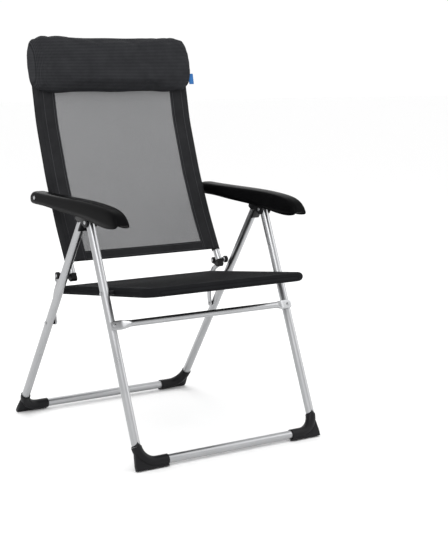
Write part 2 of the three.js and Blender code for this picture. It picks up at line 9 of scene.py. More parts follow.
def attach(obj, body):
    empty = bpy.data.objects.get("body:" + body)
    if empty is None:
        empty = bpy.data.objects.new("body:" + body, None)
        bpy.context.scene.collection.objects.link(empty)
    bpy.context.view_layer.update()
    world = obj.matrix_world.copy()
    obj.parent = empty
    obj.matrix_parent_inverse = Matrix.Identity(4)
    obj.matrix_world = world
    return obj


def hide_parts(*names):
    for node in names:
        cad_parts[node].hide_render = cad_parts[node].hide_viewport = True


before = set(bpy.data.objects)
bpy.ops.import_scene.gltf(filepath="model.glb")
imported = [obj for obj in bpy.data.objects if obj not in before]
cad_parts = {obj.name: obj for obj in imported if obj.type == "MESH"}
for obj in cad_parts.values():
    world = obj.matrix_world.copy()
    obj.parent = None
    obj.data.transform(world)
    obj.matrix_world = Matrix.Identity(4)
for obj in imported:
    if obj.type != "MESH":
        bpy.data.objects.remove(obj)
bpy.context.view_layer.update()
print("frame loaded:", len(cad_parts), "CAD nodes")

mm = 0.001

# camera: made first

view = {
    "place": (-1.947, -3.249, 1.056),
    "azimuth": -35.28, "elevation": 9.22, "roll": 0.19,   # degrees
    "lens": 105.5, "sensor": 36.0,
    "shiftX": -0.0815, "shiftY": 0.0036,
}


def makeCamera(v):
    az, el = math.radians(v["azimuth"]), math.radians(v["elevation"])
    back = np.array([math.sin(az) * math.cos(el), -math.cos(az) * math.cos(el), math.sin(el)])
    data = bpy.data.cameras.new("camera")
    data.sensor_fit = "HORIZONTAL"
    data.sensor_width = v["sensor"]
    data.lens = v["lens"]
    data.shift_x, data.shift_y = v["shiftX"], v["shiftY"]
    data.clip_end = 100
    cam = bpy.data.objects.new("camera", data)
    cam.location = v["place"]
    turn = Vector(back).to_track_quat("Z", "Y").to_matrix()
    cam.rotation_euler = (turn @ Matrix.Rotation(math.radians(v["roll"]), 3, "Z")).to_euler()
    bpy.context.collection.objects.link(cam)
    bpy.context.scene.camera = cam


makeCamera(view)

# the chair's own measures, in millimetres

chair = {
    "legX": 287.5, "legR": 12.0, "bend": 50.0, "barZ": 18.0,
    "frontFloor": -366.0, "rearFloor": 370.0, "crossY": -88.0, "crossZ": 672.0,
    "railX": 250.0, "railR": 10.0, "sleeveR": 12.2,
    "seatPivotZ": 446.5, "seatSlope": 7.0, "seatFront": -352.0, "seatRear": 146.0,
    "slingRear": 128.0, "seatCorner": 34.0,
    "backFoot": 462.0, "backSling": 490.0, "backTop": 1112.0, "backCorner": 62.0,
    "frontPivotZ": 631.0, "rivetZ": 652.0, "crossbarZ": 361.0, "linkPivotZ": 312.0,
    "hinge": (97.5, 458.0), "armPivot": (188.0, 674.0), "pinBack": (136.0, 411.0),
}


def onFront(z):
    return chair["frontFloor"] + (chair["crossY"] - chair["frontFloor"]) * z / chair["crossZ"]


def onRear(z):
    return chair["rearFloor"] + (chair["crossY"] - chair["rearFloor"]) * z / chair["crossZ"]


frontLean = math.atan2(chair["crossY"] - chair["frontFloor"], chair["crossZ"])
rearLean = math.atan2(chair["rearFloor"] - chair["crossY"], chair["crossZ"])


def seatZ(y):
    # a straight line through the seat pivot, falling towards the rear
    pivotZ = chair["seatPivotZ"]
    return pivotZ - math.tan(math.radians(chair["seatSlope"])) * (y - onFront(pivotZ))


backKnots = np.array([462.0, 490.0, 590.0, 720.0, 880.0, 1112.0])
backKnotY = 199 + 0.4223 * (backKnots - 700) - 0.00036 * (backKnots - 700) ** 2


def backY(z):
    # the rails are straight between their bends, with the bends eased over 50 mm
    z = np.asarray(z, float)
    total = np.zeros_like(z)
    for shift in np.linspace(-25, 25, 7):
        inner = np.interp(z + shift, backKnots, backKnotY)
        low = (z + shift) < backKnots[0]
        high = (z + shift) > backKnots[-1]
        s0 = (backKnotY[1] - backKnotY[0]) / (backKnots[1] - backKnots[0])
        s1 = (backKnotY[-1] - backKnotY[-2]) / (backKnots[-1] - backKnots[-2])
        inner = np.where(low, backKnotY[0] + s0 * (z + shift - backKnots[0]), inner)
        inner = np.where(high, backKnotY[-1] + s1 * (z + shift - backKnots[-1]), inner)
        total += inner / 7
    return total


def backLean(z):
    # angle of the rails from upright
    return np.arctan((backY(np.asarray(z) + 5.0) - backY(np.asarray(z) - 5.0)) / 10.0)


# materials

class Finish:
    # a node material made step by step around one Principled shader

    def __init__(self, name, **sockets):
        self.mat = bpy.data.materials.new(name)
        self.mat.use_nodes = True
        self.tree = self.mat.node_tree
        self.shader = self.tree.nodes["Principled BSDF"]
        for key, value in sockets.items():
            self.shader.inputs[key.replace("_", " ")].default_value = value
        self.coords = self.add("ShaderNodeTexCoord")

    def add(self, kind, **inputs):
        node = self.tree.nodes.new(kind)
        for key, value in inputs.items():
            node.inputs[key].default_value = value
        return node

    def link(self, a, b):
        self.tree.links.new(a, b)
        return b.node

    def stretched(self, scale):
        node = self.add("ShaderNodeMapping", Scale=scale)
        self.link(self.coords.outputs["Object"], node.inputs["Vector"])
        return node.outputs["Vector"]

    def noise(self, scale, stretch=(1, 1, 1), detail=3.0, rough=0.55):
        node = self.add("ShaderNodeTexNoise", Scale=scale, Detail=detail, Roughness=rough)
        self.link(self.stretched(stretch), node.inputs["Vector"])
        return node.outputs["Fac"]

    def wave(self, scale, axis, stretch=(1, 1, 1), distort=0.0):
        node = self.add("ShaderNodeTexWave", Scale=scale, Distortion=distort, Detail=1.0)
        node.wave_type, node.bands_direction, node.wave_profile = "BANDS", axis, "SIN"
        self.link(self.stretched(stretch), node.inputs["Vector"])
        return node.outputs["Fac"]

    def maths(self, how, a, b):
        node = self.add("ShaderNodeMath")
        node.operation = how
        for i, v in enumerate((a, b)):
            if isinstance(v, (int, float)):
                node.inputs[i].default_value = v
            else:
                self.link(v, node.inputs[i])
        return node.outputs[0]

    def spread(self, value, low, high, to0=0.0, to1=1.0):
        node = self.add("ShaderNodeMapRange")
        for key, v in (("From Min", low), ("From Max", high), ("To Min", to0), ("To Max", to1)):
            node.inputs[key].default_value = v
        self.link(value, node.inputs["Value"])
        return node.outputs["Result"]

    def colour(self, value, dark, light):
        node = self.add("ShaderNodeMix")
        node.data_type = "RGBA"
        self.link(value, node.inputs["Factor"])
        node.inputs[6].default_value = (*dark, 1)
        node.inputs[7].default_value = (*light, 1)
        self.link(node.outputs[2], self.shader.inputs["Base Color"])

    def rough(self, value, low, high):
        self.link(self.spread(value, 0.3, 0.7, low, high), self.shader.inputs["Roughness"])

    def bump(self, value, strength, distance):
        node = self.add("ShaderNodeBump", Strength=strength, Distance=distance)
        self.link(value, node.inputs["Height"])
        self.link(node.outputs["Normal"], self.shader.inputs["Normal"])


def anodised(name, tint, rough):
    f = Finish(name, Metallic=1.0, Roughness=rough)
    smudge = f.noise(9.0, (1, 1, 1), 4.0)
    f.colour(f.spread(smudge, 0.3, 0.7), tuple(0.9 * t for t in tint), tint)
    f.rough(smudge, rough * 0.85, rough * 1.3)
    drawn = f.noise(900.0, (1.0, 0.25, 0.25), 2.0)   # faint drawing lines
    f.bump(drawn, 0.06, 0.0004)
    return f.mat


def mouldedPlastic(name, shade, rough, grain, shine=0.16):
    f = Finish(name, Roughness=rough, Specular_IOR_Level=shine)
    cloud = f.noise(14.0, (1, 1, 1), 3.0)
    f.colour(f.spread(cloud, 0.3, 0.7), tuple(0.8 * s for s in shade), tuple(1.25 * s for s in shade))
    f.rough(cloud, rough * 0.88, rough * 1.15)
    f.bump(f.noise(1400.0, (1, 1, 1), 2.0), grain, 0.0003)
    return f.mat


def wovenCloth(name, dark, light, axes, pitch, bump, shine, rough=0.85):
    # two crossing waves, one along each thread direction; pitch is the thread spacing in metres
    f = Finish(name, Roughness=rough, Specular_IOR_Level=shine)
    turns = 2 * math.pi / (20.0 * pitch)   # a band wave repeats every 2 pi / 20 of its scale
    warp = f.wave(turns, axes[0])
    weft = f.wave(turns * 0.8, axes[1])
    threads = f.maths("MULTIPLY", f.maths("ADD", warp, weft), 0.5)
    patch = f.noise(26.0, (1, 1, 1), 4.0)
    f.colour(f.maths("MULTIPLY", threads, f.spread(patch, 0.25, 0.75, 0.6, 1.0)), dark, light)
    f.bump(threads, bump, 0.0006)
    return f.mat


def openMesh(name, dark, light, pitch, cover):
    # threads cross with open holes between them; alpha is the thread's own shape
    f = Finish(name, Roughness=0.75, Specular_IOR_Level=0.2)
    turns = 2 * math.pi / (20.0 * pitch)
    warp = f.wave(turns, "X")
    weft = f.wave(turns, "Z")
    thread = f.maths("MAXIMUM", warp, weft)
    f.colour(f.spread(thread, 0.5, 1.0), dark, light)
    alpha = f.spread(thread, cover - 0.12, cover + 0.12, 0.25, 1.0)
    f.link(alpha, f.shader.inputs["Alpha"])
    f.bump(thread, 0.4, 0.0005)
    return f.mat


finish = {
    "tube": anodised("brightTube", (0.42, 0.425, 0.434), 0.30),
    "linkBar": anodised("linkBar", (0.42, 0.425, 0.435), 0.34),
    "steel": anodised("platedSteel", (0.40, 0.405, 0.415), 0.26),
    "black": mouldedPlastic("blackPlastic", (0.006, 0.006, 0.007), 0.40, 0.25),
    "armrest": mouldedPlastic("armrestPlastic", (0.0022, 0.0022, 0.0025), 0.34, 0.10, shine=0.03),
    "seat": wovenCloth("seatSling", (0.004, 0.0042, 0.005), (0.016, 0.0165, 0.018),
                       ("X", "Y"), 0.0022, 0.5, 0.05),
    "band": wovenCloth("backBands", (0.004, 0.0042, 0.005), (0.036, 0.0365, 0.039),
                       ("X", "Z"), 0.0022, 0.5, 0.10),
    "mesh": openMesh("backMesh", (0.09, 0.092, 0.095), (0.235, 0.237, 0.243), 0.0022, 0.62),
    "pillow": wovenCloth("pillowWeave", (0.008, 0.0083, 0.0095), (0.048, 0.049, 0.053),
                         ("X", "Z"), 0.0034, 0.6, 0.04),
    "thread": mouldedPlastic("seamThread", (0.05, 0.051, 0.055), 0.7, 0.4),
    "tag": wovenCloth("blueTag", (0.02, 0.09, 0.26), (0.05, 0.2, 0.5), ("X", "Z"), 0.0016, 0.3, 0.16),
}
print("materials made")

# shapes


def addMesh(name, points, faces, material, smooth=True):
    mesh = bpy.data.meshes.new(name)
    mesh.from_pydata((np.asarray(points) * mm).tolist(), [], [tuple(f) for f in faces])
    mesh.materials.append(material)
    mesh.polygons.foreach_set("use_smooth", np.full(len(mesh.polygons), smooth))
    mesh.update()
    obj = bpy.data.objects.new(name, mesh)
    bpy.context.collection.objects.link(obj)
    return obj


def gridFaces(rows, columns, wrap, offset=0):
    # quads between neighbouring rows; wrap joins the last column to the first
    r = np.arange(rows - 1)[:, None]
    c = np.arange(columns if wrap else columns - 1)[None, :]
    n = (c + 1) % columns
    quads = np.stack([r * columns + c, r * columns + n, (r + 1) * columns + n, (r + 1) * columns + c], -1)
    return (quads.reshape(-1, 4) + offset).tolist()


def facingOut(obj):
    bm = bmesh.new()
    bm.from_mesh(obj.data)
    bmesh.ops.remove_doubles(bm, verts=bm.verts, dist=2e-6)
    bmesh.ops.recalc_face_normals(bm, faces=bm.faces)
    bm.to_mesh(obj.data)
    bm.free()
    return obj


def sharpened(obj, degrees=35):
    # creases stay crisp where faces meet at more than this angle
    obj.data.set_sharp_from_angle(angle=math.radians(degrees))
    return obj


def roundedPath(corners, steps=14):
    # straight runs joined by arcs; a corner is (point, radius)
    out = []
    pts = [np.array(p, float) for p, _ in corners]
    for i, (p, r) in enumerate(corners):
        if r == 0 or i in (0, len(corners) - 1):
            out.append(pts[i][None])
            continue
        a = pts[i - 1] - pts[i]
        b = pts[i + 1] - pts[i]
        a, b = a / np.linalg.norm(a), b / np.linalg.norm(b)
        half = math.acos(np.clip(a @ b, -1, 1)) / 2
        middle = pts[i] + (a + b) / np.linalg.norm(a + b) * r / math.sin(half)
        turn = math.pi - 2 * half
        u = -(a + b) / np.linalg.norm(a + b)
        w = (a - b) / np.linalg.norm(a - b)
        t = np.linspace(turn / 2, -turn / 2, steps + 1)[:, None]
        out.append(middle + r * (np.cos(t) * u + np.sin(t) * w))
    return np.concatenate(out)


def sweep(path, radius, lift, sides=32):
    # ring of the radius carried along the path: P(s, a) = path(s) + r (cos a N + sin a B)
    path = np.asarray(path, float)
    way = np.gradient(path, axis=0)
    step = np.linalg.norm(np.diff(path, axis=0), axis=1)
    unit = np.diff(path, axis=0) / step[:, None]
    way[0], way[-1] = unit[0], unit[-1]
    way[1:-1] = unit[:-1] + unit[1:]
    way /= np.linalg.norm(way, axis=1, keepdims=True)
    n = np.asarray(lift, float)[None] - (way @ np.asarray(lift, float))[:, None] * way
    n /= np.linalg.norm(n, axis=1, keepdims=True)
    b = np.cross(way, n)
    a = np.linspace(0, 2 * math.pi, sides, endpoint=False)
    r = np.broadcast_to(np.asarray(radius, float), (len(path),))[:, None, None]
    ca, sa = np.cos(a)[None, :, None], np.sin(a)[None, :, None]
    return path[:, None] + r * (ca * n[:, None] + sa * b[:, None])


def tubeObject(name, path, radius, lift, material, sides=32, wall=0.0):
    # a swept tube; with a wall it is open at its ends
    rings = sweep(path, radius, lift, sides)
    count = len(rings)
    faces = gridFaces(count, sides, True)
    if wall:
        inner = sweep(path, radius - wall, lift, sides)
        points = np.concatenate([rings.reshape(-1, 3), inner.reshape(-1, 3)])
        half = count * sides
        faces += [f[::-1] for f in gridFaces(count, sides, True, half)]
        k = np.arange(sides)
        n = (k + 1) % sides
        last = (count - 1) * sides
        faces += np.stack([k, n, n + half, k + half], -1)[:, ::-1].tolist()
        faces += np.stack([last + k, last + n, half + last + n, half + last + k], -1).tolist()
    else:
        points = rings.reshape(-1, 3)
        faces += [list(range(sides))[::-1], list(range((count - 1) * sides, count * sides))]
    obj = facingOut(addMesh(name, points, faces, material))
    return sharpened(obj)


def turned(name, profile, centre, side, material, sides=32):
    # profile of (distance along X, radius), turned about an axis along X
    prof = np.asarray(profile, float)
    a = np.linspace(0, 2 * math.pi, sides, endpoint=False)
    x = np.repeat(prof[:, 0][:, None], sides, 1) * side
    y = centre[0] + prof[:, 1][:, None] * np.cos(a)
    z = centre[1] + prof[:, 1][:, None] * np.sin(a)
    points = np.stack([x, y, z], -1).reshape(-1, 3)
    faces = gridFaces(len(prof), sides, True)
    faces += [list(range(sides))[::-1], list(range((len(prof) - 1) * sides, len(prof) * sides))]
    return sharpened(facingOut(addMesh(name, points, faces, material)), 40)


def slabPoints(outline, x0, x1, bevel):
    # an outline in (y, z) given thickness along X; four rings, the outer two drawn in by the bevel
    o = np.asarray(outline, float)
    ahead, behind = np.roll(o, -1, 0), np.roll(o, 1, 0)
    way = ahead - behind
    way /= np.linalg.norm(way, axis=1, keepdims=True)
    inward = np.stack([-way[:, 1], way[:, 0]], -1)
    area = np.sum(o[:, 0] * ahead[:, 1] - ahead[:, 0] * o[:, 1])
    inward *= 1 if area > 0 else -1
    rings = []
    for x, drawn in ((x0, bevel), (x0 + bevel * 0.3, bevel * 0.3), (x0 + bevel, 0), (x1 - bevel, 0),
                     (x1 - bevel * 0.3, bevel * 0.3), (x1, bevel)):
        yz = o + inward * drawn
        rings.append(np.column_stack([np.full(len(o), x), yz]))
    return np.array(rings)


def slabObject(name, outline, x0, x1, bevel, material, side=1, bend=None):
    rings = slabPoints(outline, x0, x1, bevel)
    if bend is not None:
        rings[..., 0] += bend(rings[..., 1], rings[..., 2])
    rings[..., 0] *= side
    n = rings.shape[1]
    faces = gridFaces(len(rings), n, True)
    faces += [list(range(n))[::-1], list(range((len(rings) - 1) * n, len(rings) * n))]
    return sharpened(facingOut(addMesh(name, rings.reshape(-1, 3), faces, material)), 50)


def joined(name, objects):
    # several closed shells kept as one piece
    bpy.ops.object.select_all(action="DESELECT")
    for o in objects:
        o.select_set(True)
    bpy.context.view_layer.objects.active = objects[0]
    bpy.ops.object.join()
    objects[0].name = name
    return objects[0]


def eased(value, low, high):
    t = np.clip((value - low) / (high - low), 0, 1)
    return t * t * (3 - 2 * t)


sides = ((1, "right"), (-1, "left"))


def use(piece, body, slotName, *nodes):
    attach(piece, body)
    if nodes:
        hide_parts(*nodes)
    return piece


# tubes

def legTube(name, on, top, body, lean):
    x = chair["legX"]
    corners = [((-x, on(top), top), 0), ((-x, on(chair["barZ"]), chair["barZ"]), chair["bend"]),
               ((x, on(chair["barZ"]), chair["barZ"]), chair["bend"]), ((x, on(top), top), 0)]
    lift = (0, -math.cos(lean), -math.sin(lean)) if on is onRear else (0, -math.cos(lean), math.sin(lean))
    piece = tubeObject(name + "Tube", roundedPath(corners), chair["legR"], lift, finish["tube"], wall=1.5)
    use(piece, body, "bright_tube", name)


legTube("front_leg_frame", onFront, chair["frontPivotZ"] + 10, "front_frame", frontLean)
legTube("rear_leg_frame", onRear, chair["rivetZ"] + 8, "rear_frame", rearLean)

railX = chair["railX"]
slope = math.radians(chair["seatSlope"])
seatUp = (0, math.sin(slope), math.cos(slope))


def seatPath(rear):
    front, corner = chair["seatFront"], chair["seatCorner"]
    return roundedPath([((-railX, rear, seatZ(rear)), 0), ((-railX, front, seatZ(front)), corner),
                        ((railX, front, seatZ(front)), corner), ((railX, rear, seatZ(rear)), 0)])


use(tubeObject("seatTube", seatPath(chair["seatRear"]), chair["railR"], seatUp, finish["tube"], wall=1.5),
    "seat", "bright_tube", "seat_frame")
barEnd = railX - chair["railR"] - 0.3
rearBar = {"y": 118.0, "drop": 1.0, "radius": 8.0}
rearBarPath = [(at, rearBar["y"], seatZ(rearBar["y"]) - rearBar["drop"]) for at in (-barEnd, 0, barEnd)]
use(tubeObject("seatRearBar", rearBarPath, rearBar["radius"], seatUp, finish["tube"]),
    "seat", "bright_tube", "seat_rear_bar")

railZ = np.linspace(chair["backFoot"], 1030, 40)
topY = float(backY(chair["backTop"]))


def backPath():
    railPoints = [(float(backY(z)), z) for z in railZ]
    left = [((-railX, y, z), 0) for y, z in railPoints]
    right = [((railX, y, z), 0) for y, z in reversed(railPoints)]
    top, corner = chair["backTop"], chair["backCorner"]
    return roundedPath(left + [((-railX, topY, top), corner), ((railX, topY, top), corner)] + right)


backNormal = (0, -math.cos(0.4), math.sin(0.4))
use(tubeObject("backTube", backPath(), chair["railR"], backNormal, finish["tube"], wall=1.5),
    "backrest", "bright_tube", "backrest_frame")

# front crossbar: round in the middle, pressed into tall flat tabs at its ends
crossbar = {
    "radius": 9.0, "end": 297.0, "flatFrom": 236.0, "flatTo": 268.0,
    "tabThick": 4.0, "tabHigh": 26.0,
}


def makeCrossbar(k):
    # ring radii ease from (r, r) to (tabThick / 2, tabHigh / 2) along X
    press = np.linspace(k["flatFrom"], k["end"], 26)
    xs = np.concatenate([-press[::-1], [0], press])
    flat = eased(np.abs(xs), k["flatFrom"], k["flatTo"])
    a = np.linspace(0, 2 * math.pi, 40, endpoint=False)
    deep = k["radius"] + (k["tabThick"] / 2 - k["radius"]) * flat
    high = k["radius"] + (k["tabHigh"] / 2 - k["radius"]) * flat
    tip = 1 - 0.35 * eased(np.abs(xs), k["end"] - 7, k["end"])
    power = 1 - 0.55 * flat                       # squarer towards the tabs
    u = np.sign(np.cos(a)) * np.abs(np.cos(a)) ** power[:, None] * deep[:, None]
    v = np.sign(np.sin(a)) * np.abs(np.sin(a)) ** power[:, None] * (high * tip)[:, None]
    u = u + (k["radius"] - k["tabThick"] / 2) * flat[:, None]
    out = chair["legR"] + 0.3 + k["radius"]
    y0 = onFront(chair["crossbarZ"]) - math.cos(frontLean) * out
    z0 = chair["crossbarZ"] + math.sin(frontLean) * out
    y = y0 + u * math.cos(frontLean) + v * math.sin(frontLean)
    z = z0 - u * math.sin(frontLean) + v * math.cos(frontLean)
    points = np.stack([np.broadcast_to(xs[:, None], y.shape), y, z], -1)
    faces = gridFaces(len(xs), 40, True)
    faces += [list(range(40))[::-1], list(range((len(xs) - 1) * 40, len(xs) * 40))]
    return sharpened(facingOut(addMesh("frontCrossbar", points.reshape(-1, 3), faces, finish["tube"])), 45)


use(makeCrossbar(crossbar), "front_frame", "bright_tube", "front_crossbar")
print("tubes made")

# bolts, bushes and rings

def pivotOn(legs, height):
    # (y, z) on the middle line of a leg frame at one of the chair's named heights
    return legs(chair[height]), chair[height]


bolts = [   # name, place, face it sits on, length, head radius, nut radius, body
    ("front_leg_pivot", pivotOn(onFront, "frontPivotZ"), 304.1, 33.2, 5.5, 5, "front_frame"),
    ("bracket_rivet", pivotOn(onRear, "rivetZ"), 304.1, 33.2, 5.5, 5, "rear_frame"),
    ("seat_pivot", pivotOn(onFront, "seatPivotZ"), 299.8, 60.1, 5.5, 5, "front_frame"),
    ("link_pivot", pivotOn(onRear, "linkPivotZ"), 299.8, 34.5, 5.5, 5, "rear_frame"),
    ("seat_link_pin", chair["pinBack"], 272.2, 11.0, 4.5, 0, "links"),
    ("hinge_bolt", chair["hinge"], 291.6, 52.6, 4.5, 5.5, "links"),
    ("armrest_bolt", chair["armPivot"], 311.3, 71.6, 5.5, 5, "backrest"),
]


def boltProfile(face, length, head, nut):
    # from the inner end outwards: nut, shank, flange and domed head
    far = face - length
    dome = [(face + 2.3 * math.sin(t), head * math.cos(t)) for t in np.linspace(0, 1.45, 9)]
    inner = [(far, 1.5)]
    if nut:
        inner = [(far - 2.4, 0.6), (far - 2.2, nut * 0.8), (far - 1.4, nut), (far, nut)]
    return inner + [(far, 3), (face, 3), (face, head * 0.97)] + dome


for name, place, face, length, head, nut, body in bolts:
    for side, label in sides:
        profile = boltProfile(face, length, head, nut)
        piece = turned(f"{name}_{label}_head", profile, place, side, finish["steel"])
        use(piece, body, "fastener", f"{name}_{label}")

rings = [   # name, place, from x, to x, radius, body
    ("seat_pivot_spacer", pivotOn(onFront, "seatPivotZ"), 260.3, 275.2, 7, "front_frame"),
    ("link_spacer", pivotOn(onRear, "linkPivotZ"), 271.3, 275.2, 7, "rear_frame"),
    ("hinge_boss", chair["hinge"], 282.3, 291.3, 10.5, "links"),
    ("hinge_bush", chair["hinge"], 262.4, 274.8, 7, "backrest"),
    ("armrest_bush", chair["armPivot"], 262.4, 263.7, 8, "backrest"),
]
for name, place, x0, x1, radius, body in rings:
    r = min(1.2, (x1 - x0) * 0.3)
    edge = [(x0, 3.4), (x0, radius - r), (x0 + r * 0.3, radius - r * 0.3), (x0 + r, radius),
            (x1 - r, radius), (x1 - r * 0.3, radius - r * 0.3), (x1, radius - r), (x1, 3.4)]
    for side, label in sides:
        piece = turned(f"{name}_{label}_ring", edge, place, side, finish["black"])
        use(piece, body, "black_plastic", f"{name}_{label}")

# links

linkBar = {"width": 16.0, "from": 265.6, "thick": 5.4, "sag": 27.0, "joggle": 11.0, "bevel": 1.1}


def makeLinks(k):
    # a band about the arc 4 sag t (1 - t) over the chord, with round ends
    p0 = np.array(pivotOn(onRear, "linkPivotZ"))
    p1 = np.array(chair["hinge"])
    length = float(np.linalg.norm(p1 - p0))
    along = (p1 - p0) / length
    out = np.array([along[1], -along[0]])
    t = np.linspace(0, 1, 40)
    bow = 4 * k["sag"] * t * (1 - t)
    tilt = np.arctan(4 * k["sag"] * (1 - 2 * t) / length)
    half = k["width"] / 2

    def edge(sign):
        s = t * length - sign * half * np.sin(tilt)
        o = bow + sign * half * np.cos(tilt)
        return p0 + s[:, None] * along + o[:, None] * out

    def cap(at, start):
        a = start - np.linspace(0, math.pi, 12)[1:-1]
        return p0 + (at + half * np.cos(a))[:, None] * along + (half * np.sin(a))[:, None] * out

    outline = np.concatenate([edge(1), cap(length, math.pi / 2 + tilt[-1]), edge(-1)[::-1],
                              cap(0, -math.pi / 2 + tilt[0])])

    def bend(y, z):
        s = (y - p0[0]) * along[0] + (z - p0[1]) * along[1]
        return k["joggle"] * eased(s / length, 0.72, 0.85)

    for side, label in sides:
        piece = slabObject(f"linkBar_{label}", outline, k["from"], k["from"] + k["thick"], k["bevel"],
                           finish["linkBar"], side, bend)
        use(piece, "links", "link_bar", f"back_link_{label}")


makeLinks(linkBar)

# leg brackets

legBracket = {"inner": (271.2, 274.9), "outer": (300.1, 303.8), "radius": 14.0, "bevel": 1.0}


def makeBrackets(k):
    along = np.array([-math.sin(rearLean), math.cos(rearLean)])
    across = np.array([-math.cos(rearLean), -math.sin(rearLean)])
    rivet = np.array(pivotOn(onRear, "rivetZ"))
    pivot = np.array(pivotOn(onFront, "frontPivotZ"))
    apart = float(np.linalg.norm(pivot - rivet))

    def spots(pairs):
        pairs = np.asarray(pairs, float)
        return rivet + pairs[:, :1] * along + pairs[:, 1:] * across

    def lobe(up, over, a0, a1):
        a = np.linspace(a0, a1, 16)
        return np.column_stack([up + k["radius"] * np.sin(a), over + k["radius"] * np.cos(a)])

    cheek = spots(np.concatenate([lobe(0, apart, -math.pi / 2, math.pi / 2),
                                  lobe(7, 0, math.pi / 2, math.pi),
                                  [(-24, -14), (-27, -11), (-27, 4), (-24, 8), (-16, 14)]]))
    tongue = spots([(12, 12.3), (12, 18.4), (-46, 18.4), (-49, 17), (-50, 15), (-49, 13), (-46, 12.3)])
    for side, label in sides:
        parts = [slabObject("cheekIn", cheek, *k["inner"], k["bevel"], finish["black"], side),
                 slabObject("cheekOut", cheek, *k["outer"], k["bevel"], finish["black"], side),
                 slabObject("tongue", tongue, k["inner"][1] - 0.5, k["outer"][0] + 0.5, 0.8,
                            finish["black"], side)]
        use(joined(f"legBracket_{label}", parts), "rear_frame", "black_plastic", f"leg_bracket_{label}")


makeBrackets(legBracket)

# feet

foot = {"radius": 14.5, "cuff": 60.0, "bar": 84.0, "plate": 14.0}


def makeFeet(k, on, body, nodeName, lean):
    # a sleeve round the bend, and a web filling its outer corner down to the floor
    legX, b = chair["legX"], chair["barZ"]
    path = roundedPath([((legX, on(k["cuff"]), k["cuff"]), 0), ((legX, on(b), b), chair["bend"]),
                        ((legX - k["bar"], on(b), b), 0)], 18)
    sign = 1 if on is onRear else -1
    up = np.array([0, -sign * math.sin(lean), math.cos(lean)])     # up the leg
    outv = np.array([0, sign * math.cos(lean), math.sin(lean)])    # square to the leg frame's plane
    base = np.array([0, on(0), 0.0])
    corner = np.array([(legX + 14, 1), (legX + 14, 16), (legX + 10, 46), (legX, 56)])
    a = np.linspace(0, -math.pi / 2, 14)
    bend = chair["bend"]
    inner = np.column_stack([legX - bend + bend * np.cos(a), bend + b + bend * np.sin(a)])
    web = np.concatenate([corner, inner, [(legX - 78, b), (legX - 86, 1)]])
    for side, label in sides:
        sleeve = tubeObject("sleeve", path * (side, 1, 1), k["radius"], outv, finish["black"], 40, wall=2.2)
        rings = []
        for depth, draw in ((-1, 1.0), (-0.85, 0.15), (0.85, 0.15), (1, 1.0)):
            middle = web.mean(0)
            w = middle + (web - middle) * (1 - draw * 0.025)
            p = base + w[:, :1] * np.array([1.0, 0, 0]) + w[:, 1:] * up + depth * k["plate"] / 2 * outv
            p[:, 2] = np.maximum(p[:, 2], 0)
            rings.append(p * (side, 1, 1))
        rings = np.array(rings)
        n = rings.shape[1]
        faces = gridFaces(4, n, True) + [list(range(n))[::-1], list(range(3 * n, 4 * n))]
        plate = sharpened(facingOut(addMesh("web", rings.reshape(-1, 3), faces, finish["black"])), 40)
        cover = joined(f"{nodeName}_{label}_cover", [sleeve, plate])
        use(cover, body, "black_plastic", f"{nodeName}_{label}")


makeFeet(foot, onFront, "front_frame", "front_foot", frontLean)
makeFeet(foot, onRear, "rear_frame", "rear_foot", rearLean)
print("hardware made")

# armrests

armrest = {
    "x0": 264.0, "x1": 311.0, "wall": 3.0, "square": 4.2,
    "top": [(222, 674), (220, 683), (213, 689.5), (200, 692), (160, 690.7), (60, 690),
            (-60, 690.3), (-150, 688), (-225, 682), (-262, 672), (-281, 656), (-287, 640)],
    "bottom": [(222, 674), (220, 666), (212, 660), (200, 657.5), (165, 656.5), (120, 656),
               (40, 650), (-60, 646),
               (-130, 641), (-190, 632), (-240, 628), (-270, 629.5), (-284, 633), (-287, 640)],
}


def alongCurve(points, where):
    # smooth curve through points, read by share of its length
    p = np.asarray(points, float)
    for _ in range(3):   # corner cutting
        mids = np.empty((2 * (len(p) - 1), 2))
        mids[0::2] = 0.75 * p[:-1] + 0.25 * p[1:]
        mids[1::2] = 0.25 * p[:-1] + 0.75 * p[1:]
        p = np.concatenate([p[:1], mids, p[-1:]])
    run = np.concatenate([[0], np.cumsum(np.linalg.norm(np.diff(p, axis=0), axis=1))])
    run /= run[-1]
    return np.column_stack([np.interp(where, run, p[:, 0]), np.interp(where, run, p[:, 1])])


def makeArmrests(k):
    # section: x = w cos^q, height share = sin^q over the span from the bottom edge to the top edge
    s = (1 - np.cos(np.linspace(0, math.pi, 72))) / 2
    top, low = alongCurve(k["top"], s), alongCurve(k["bottom"], s)
    phi = np.linspace(0, math.pi, 41)
    q = 2 / k["square"]
    across = np.sign(np.cos(phi)) * np.abs(np.cos(phi)) ** q
    share = np.abs(np.sin(phi)) ** q
    half = (k["x1"] - k["x0"]) / 2
    w = half * (1 - 0.22 * np.abs(2 * s - 1) ** 16)
    yz = low[:, None] + (top - low)[:, None] * share[None, :, None]
    wide = (k["x0"] + k["x1"]) / 2 + w[:, None] * across[None]
    points = np.concatenate([wide[..., None], yz], -1)
    for side, label in sides:
        faces = gridFaces(len(s), len(phi), False)
        piece = facingOut(addMesh(f"armrestShell_{label}", (points * (side, 1, 1)).reshape(-1, 3), faces,
                                  finish["armrest"]))
        mid = piece.data.polygons[len(faces) // 2]
        if mid.normal[2] < 0:
            piece.data.flip_normals()
        shell = piece.modifiers.new("wall", "SOLIDIFY")
        shell.thickness, shell.offset = k["wall"] * mm, -1
        use(piece, "armrests", "armrest_plastic", f"armrest_{label}")


